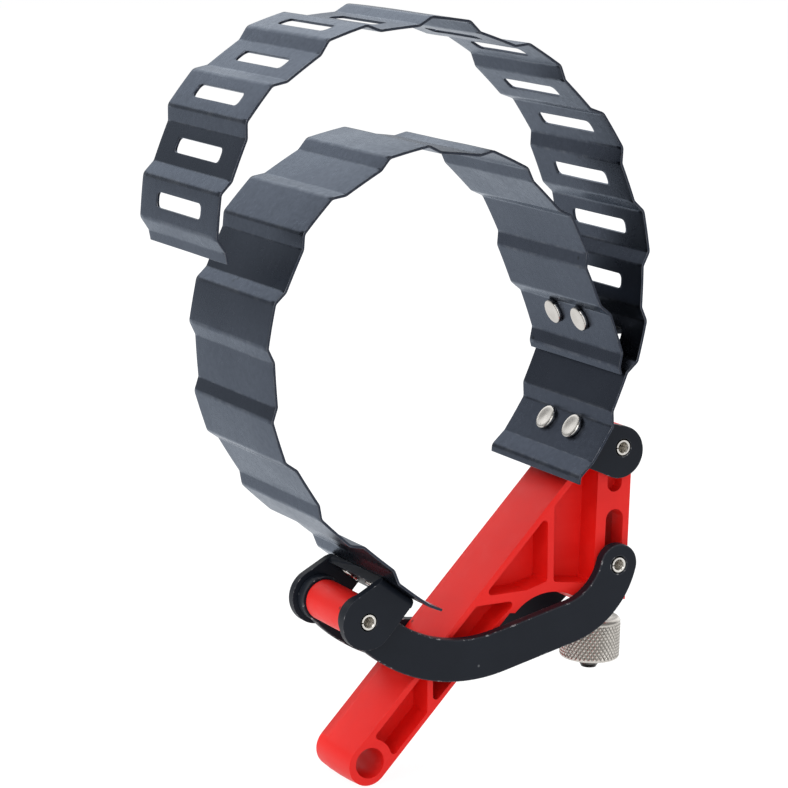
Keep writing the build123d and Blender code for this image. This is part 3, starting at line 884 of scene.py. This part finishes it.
# ------------------------------------------------------------------ pins, nut and screw
def roll_pin(node, pivot, half, body):
    """Spring pin: rolled tube with a slit and turned-in end chamfers."""
    c = 0.28
    section = [(PIN_BORE_R + 0.12, -half), (PIN_R - c, -half), (PIN_R - 0.05, -half + 2.2 * c),
               (PIN_R, -half + 3.0 * c), (PIN_R, half - 3.0 * c), (PIN_R - 0.05, half - 2.2 * c),
               (PIN_R - c, half), (PIN_BORE_R + 0.12, half), (PIN_BORE_R, half - 0.15),
               (PIN_BORE_R, -half + 0.15)]
    gap = math.asin(PIN_SLIT / 2.0 / PIN_BORE_R)
    steps = 44
    bm = bmesh.new()
    wear_layer(bm)
    rings = []
    for k in range(steps + 1):
        a = math.pi + gap + (2.0 * math.pi - 2.0 * gap) * k / steps
        rings.append([bm.verts.new((pivot[0] + r * math.cos(a), y, pivot[1] + r * math.sin(a)))
                      for r, y in section])
    for one, two in zip(rings, rings[1:]):
        for k in range(len(section)):
            bm.faces.new((one[k], two[k], two[k - 1], one[k - 1]))
    bm.faces.new(rings[0])
    bm.faces.new(reversed(rings[-1]))
    finish_piece(bm, node + "_rolled", node, body, PIN, smooth=40.0, weighted=False)


roll_pin("left_pin", LEFT_PIVOT, LEFT_EAR_OUTER, "plain_side")
roll_pin("mid_pin", MID_PIVOT, LINK_OUTER, "screw")
roll_pin("top_pin", TOP_PIVOT, RIGHT_EAR_OUTER, "slotted_side")

nose_up, _ = unit(MID_PIVOT, TOP_PIVOT)
DOWN = Vector((-nose_up[0], 0.0, -nose_up[1]))
ACROSS = Vector((nose_up[1], 0.0, -nose_up[0]))
nose_foot = add(MID_PIVOT, nose_up, -NOSE_DEPTH)
FOOT = Vector((nose_foot[0], 0.0, nose_foot[1]))


def triangle_wave(x):
    """0 at whole numbers and 1 halfway between them."""
    return 1.0 - abs(2.0 * (x - math.floor(x)) - 1.0)


def shaded_ring(bm, painted_shade, centre, samples, h):
    """Ring about the screw's axis from (radius, painted shade) samples."""
    ring = turned_ring(bm, centre, DOWN, ACROSS, [r for r, _ in samples], h)
    for v, (_, w) in zip(ring, samples):
        v[painted_shade] = w
    return ring


def knurl_at(turn, shift, ease):
    """Radius and painted groove shade of the diamond knurl, turn pitches round and shift pitches along its
    helix.
    """
    up = triangle_wave(turn + shift)
    back = triangle_wave(turn - shift)
    top = min(min(up, back) * 1.45, 1.0)
    r = NUT_R - KNURL_INSET + ease * (KNURL_INSET - KNURL_DEPTH * (1.0 - top))
    return r, ease * max(0.0, 1.0 - top * 1.9)


def thumb_nut():
    """Knurled nut: diamond knurl between a plain shoulder and a chamfer, hub and bore."""
    hub_top = WASHER_H + NUT_GAP
    body_top = hub_top + HUB_H
    body_end = body_top + NUT_H
    per, rows = 10, 84
    steps = KNURL_AROUND * per
    shoulder = 0.9
    # painted shade: the hub and the plain shoulder are darkened in colour by half, against the shoulder's
    # bright highlight
    shade = 0.5
    knurl_lo, knurl_hi = body_top + 0.95, body_end - 0.45
    helix = (knurl_hi - knurl_lo) / (2.0 * math.pi * NUT_R / KNURL_AROUND * KNURL_ASPECT)
    bm = bmesh.new()
    painted_shade = painted_shade_layer(bm)
    before = [(NUT_BORE_R + 0.35, hub_top), (HUB_R - 0.25, hub_top), (HUB_R, hub_top + 0.25),
              (HUB_R, body_top - 0.25), (HUB_R + 0.22, body_top), (NUT_R - 0.95, body_top)]
    before += arc_profile(NUT_R - 0.95, body_top + shoulder, shoulder, -72.0, -10.0, 6)
    after = [(NUT_R - 0.22, body_end - 0.28), (NUT_R - 0.5, body_end - 0.04), (NUT_R - 0.75, body_end),
             (NUT_BORE_R + 0.75, body_end), (NUT_BORE_R, body_end - 0.7), (NUT_BORE_R, hub_top + 0.35)]
    rings = [shaded_ring(bm, painted_shade, FOOT, [(r, shade)] * steps, h) for r, h in before]
    for j in range(rows + 1):
        f = j / rows
        ease = min(1.0, f * rows / 4.0, (1.0 - f) * rows / 4.0)
        ease = ease * ease * (3.0 - 2.0 * ease)
        samples = [knurl_at(k / per, f * helix, ease) for k in range(steps)]
        rings.append(shaded_ring(bm, painted_shade, FOOT, samples, knurl_lo + (knurl_hi - knurl_lo) * f))
    rings += [shaded_ring(bm, painted_shade, FOOT, [(r, 0.0)] * steps, h) for r, h in after]
    skin(bm, zip(rings, rings[1:] + rings[:1]))
    finish_piece(bm, "thumb_nut_knurled", "thumb_nut", "nut", NICKEL, smooth=60.0, weighted=False)


thumb_nut()


def adjusting_screw():
    """Threaded stud with a drilled eye and a dog point."""
    centre = Vector((MID_PIVOT[0], 0.0, MID_PIVOT[1]))
    bm = bmesh.new()
    painted_shade = painted_shade_layer(bm)
    steps, per = 40, 10
    start, end = EYE_R - 0.6, SCREW_LENGTH - 0.9
    rows = int((end - start) / THREAD_PITCH * per)
    rings = []
    for j in range(rows + 1):
        h = start + (end - start) * j / rows
        fade = max(0.0, min(1.0, (h - start - 1.2) / 0.8, (end - h) / 0.5))
        neck = 0.25 if fade == 0.0 and h > end - 1.0 else 0.0
        samples = []
        for k in range(steps):
            # painted shade: the thread grooves and the plain ends are darkened in colour
            groove = 1.0 - min(1.0, triangle_wave(h / THREAD_PITCH - k / steps) * 1.25)
            samples.append((SCREW_R - 0.02 - neck - THREAD_DEPTH * fade * groove,
                            min(1.0, groove * 1.6) if fade > 0.0 else 1.0))
        rings.append(shaded_ring(bm, painted_shade, centre, samples, h))
    point = [(SCREW_R - 0.3, end + 0.05), (SCREW_R - 0.75, SCREW_LENGTH), (1.25, SCREW_LENGTH),
             (1.15, SCREW_LENGTH - 0.1), (1.1, SCREW_LENGTH - 1.4)]
    # painted shade: the point is darkened in colour all round
    rings += [shaded_ring(bm, painted_shade, centre, [(r, 1.0)] * steps, h) for r, h in point]
    skin(bm, zip(rings, rings[1:]))
    bm.faces.new(rings[-1])
    bm.faces.new(reversed(rings[0]))
    eye = [(2.05, -EYE_HALF + 0.2), (2.25, -EYE_HALF), (EYE_R - 0.25, -EYE_HALF), (EYE_R, -EYE_HALF + 0.25),
           (EYE_R, EYE_HALF - 0.25), (EYE_R - 0.25, EYE_HALF), (2.25, EYE_HALF), (2.05, EYE_HALF - 0.2)]
    revolve(bm, eye, centre, ALONG_Y, DOWN, 48)
    finish_piece(bm, "adjusting_screw_threaded", "adjusting_screw", "screw", OXIDE,
                 smooth=50.0, weighted=False)


adjusting_screw()

# ------------------------------------------------------------------ camera, light and floor
LENS = 137.06
CAMERA_AT = (-0.29755, -0.56464, 0.21486)
LOOK_AT = (0.0104, 0.0, 0.0807)
SKY = 0.5
PAPER = 0.12
PAPER_GLOW = 0.94
FLOOR_R = 14.0

scene = bpy.context.scene
camera = bpy.data.objects.new("camera", bpy.data.cameras.new("camera"))
scene.collection.objects.link(camera)
camera.data.lens = LENS
camera.data.sensor_width = 36.0
camera.data.clip_start = 0.01
camera.data.clip_end = 60.0
camera.location = Vector(CAMERA_AT)
target = Vector(LOOK_AT)
camera.rotation_mode = "QUATERNION"
camera.rotation_quaternion = (target - camera.location).to_track_quat("-Z", "Y")
scene.camera = camera
scene.view_settings.view_transform = "Standard"


def soft_box(name, place, size, power):
    """Rectangular area light that faces the part, in metres and watts."""
    light = bpy.data.lights.new(name, "AREA")
    light.shape = "RECTANGLE"
    light.size, light.size_y = size
    light.energy = power
    ob = bpy.data.objects.new(name, light)
    ob.location = Vector(place)
    ob.rotation_mode = "QUATERNION"
    ob.rotation_quaternion = (target - ob.location).to_track_quat("-Z", "Y")
    scene.collection.objects.link(ob)


soft_box("key_left", (-0.75, -0.25, 0.75), (0.7, 0.5), 5.0)
soft_box("top", (0.05, 0.15, 1.0), (0.9, 0.7), 9.0)
soft_box("rim_right", (0.8, 0.35, 0.35), (0.7, 1.0), 3.8)
soft_box("back_top", (0.15, 1.1, 0.75), (1.4, 0.6), 3.0)
soft_box("front_fill", (-0.6, -1.3, 0.45), (1.2, 1.0), 4.6)

world = bpy.data.worlds.new("studio")
scene.world = world
world.use_nodes = True
sky = next(n for n in world.node_tree.nodes if n.type == "BACKGROUND")
sky.inputs["Color"].default_value = (1.0, 1.0, 1.0, 1.0)
sky.inputs["Strength"].default_value = SKY

floor_mesh = bpy.data.meshes.new("floor")
fb = bmesh.new()
bmesh.ops.create_circle(fb, cap_ends=True, radius=FLOOR_R, segments=96)
bmesh.ops.translate(fb, verts=fb.verts, vec=(0.0, 0.0, cad_low.z))
fb.to_mesh(floor_mesh)
fb.free()
floor = bpy.data.objects.new("floor", floor_mesh)
scene.collection.objects.link(floor)
paper = bpy.data.materials.new("white_paper")
paper.use_nodes = True
paper_shader = next(n for n in paper.node_tree.nodes if n.type == "BSDF_PRINCIPLED")
paper_shader.inputs["Base Color"].default_value = (PAPER, PAPER, PAPER, 1.0)
paper_shader.inputs["Roughness"].default_value = 0.9
paper_shader.inputs["Specular IOR Level"].default_value = 0.0
paper_shader.inputs["Emission Color"].default_value = (1.0, 1.0, 1.0, 1.0)
paper_shader.inputs["Emission Strength"].default_value = PAPER_GLOW
floor_mesh.materials.append(paper)
